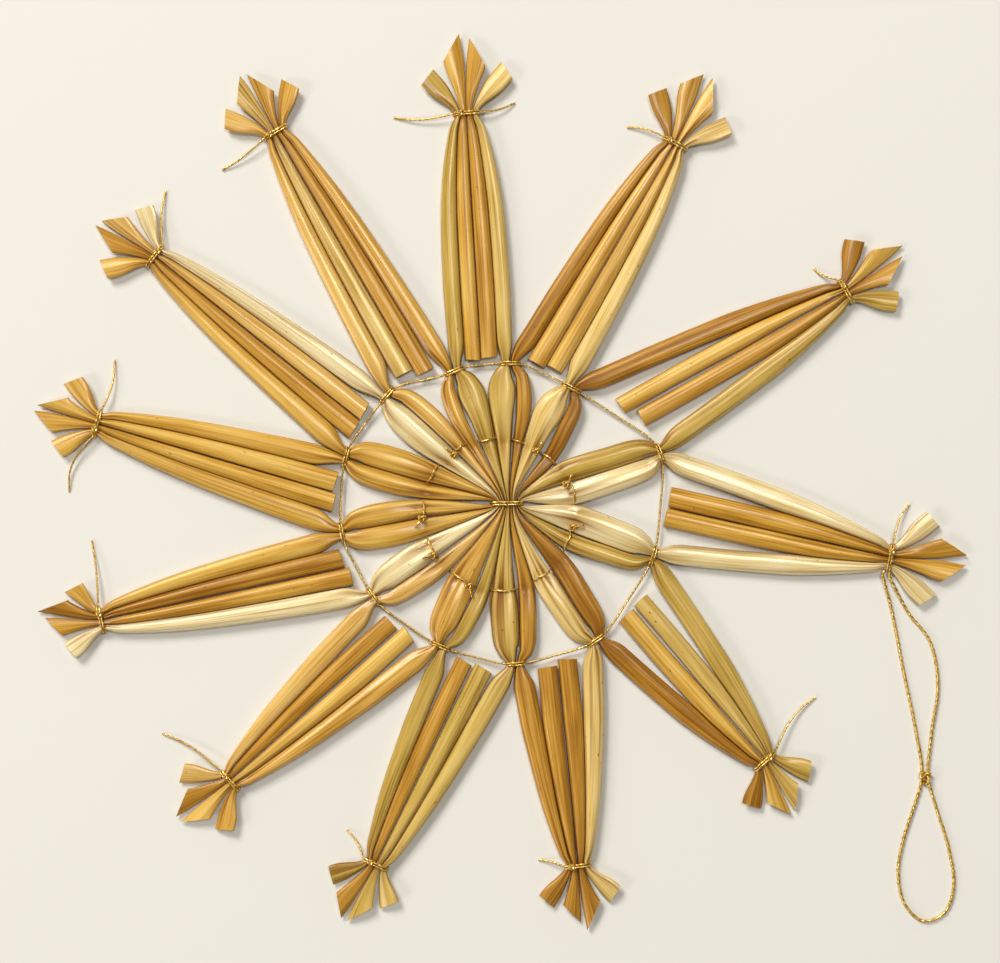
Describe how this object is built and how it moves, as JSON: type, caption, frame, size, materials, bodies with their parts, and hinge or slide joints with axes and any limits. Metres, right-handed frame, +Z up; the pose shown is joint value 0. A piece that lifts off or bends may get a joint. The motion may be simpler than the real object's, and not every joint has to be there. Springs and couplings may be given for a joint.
{
  "type": "straw star ornament",
  "caption": "Flat straw star: tied petals at the centre, long spindles of straws with fanned tips, gold thread and a hanging loop.",
  "frame": {"origin": "middle of the star's box without its hanging loop, on the surface that it lies on", "axes": "+Z up, out of the star's flat face; +Y along the top petal, away from the centre tie; +X towards the point that carries the hanging loop"},
  "size_m": [0.1174, 0.1124, 0.0016],
  "materials": {
    "straw": "split cereal straw, satin, golden with fine lengthwise fibres",
    "gold_thread": "twisted metallic gold thread"
  },
  "bodies": {
    "root": {"straw_long_01": "straw", "straw_long_02": "straw", "straw_long_03": "straw", "straw_long_04": "straw", "straw_long_05": "straw", "straw_long_06": "straw", "straw_long_07": "straw", "straw_long_08": "straw", "straw_long_09": "straw", "straw_long_10": "straw", "straw_long_11": "straw", "straw_long_12": "straw", "straw_short_01": "straw", "straw_short_02": "straw", "straw_short_03": "straw", "straw_short_04": "straw", "straw_short_05": "straw", "straw_short_06": "straw", "straw_short_07": "straw", "straw_short_08": "straw", "straw_short_09": "straw", "straw_short_10": "straw", "straw_short_11": "straw", "straw_short_12": "straw", "straw_short_13": "straw", "straw_short_14": "straw", "straw_short_15": "straw", "straw_short_16": "straw", "straw_short_17": "straw", "straw_short_18": "straw", "straw_short_19": "straw", "straw_short_20": "straw", "straw_short_21": "straw", "straw_short_22": "straw", "straw_short_23": "straw", "straw_short_24": "straw", "centre_tie": "gold_thread", "inner_ring_thread": "gold_thread", "knot_ring_thread": "gold_thread", "tip_tie_01": "gold_thread", "tip_tie_02": "gold_thread", "tip_tie_03": "gold_thread", "tip_tie_04": "gold_thread", "tip_tie_05": "gold_thread", "tip_tie_06": "gold_thread", "tip_tie_07": "gold_thread", "tip_tie_08": "gold_thread", "tip_tie_09": "gold_thread", "tip_tie_10": "gold_thread", "tip_tie_11": "gold_thread", "tip_tie_12": "gold_thread", "hanging_loop": "gold_thread"}
  },
  "joints": []
}
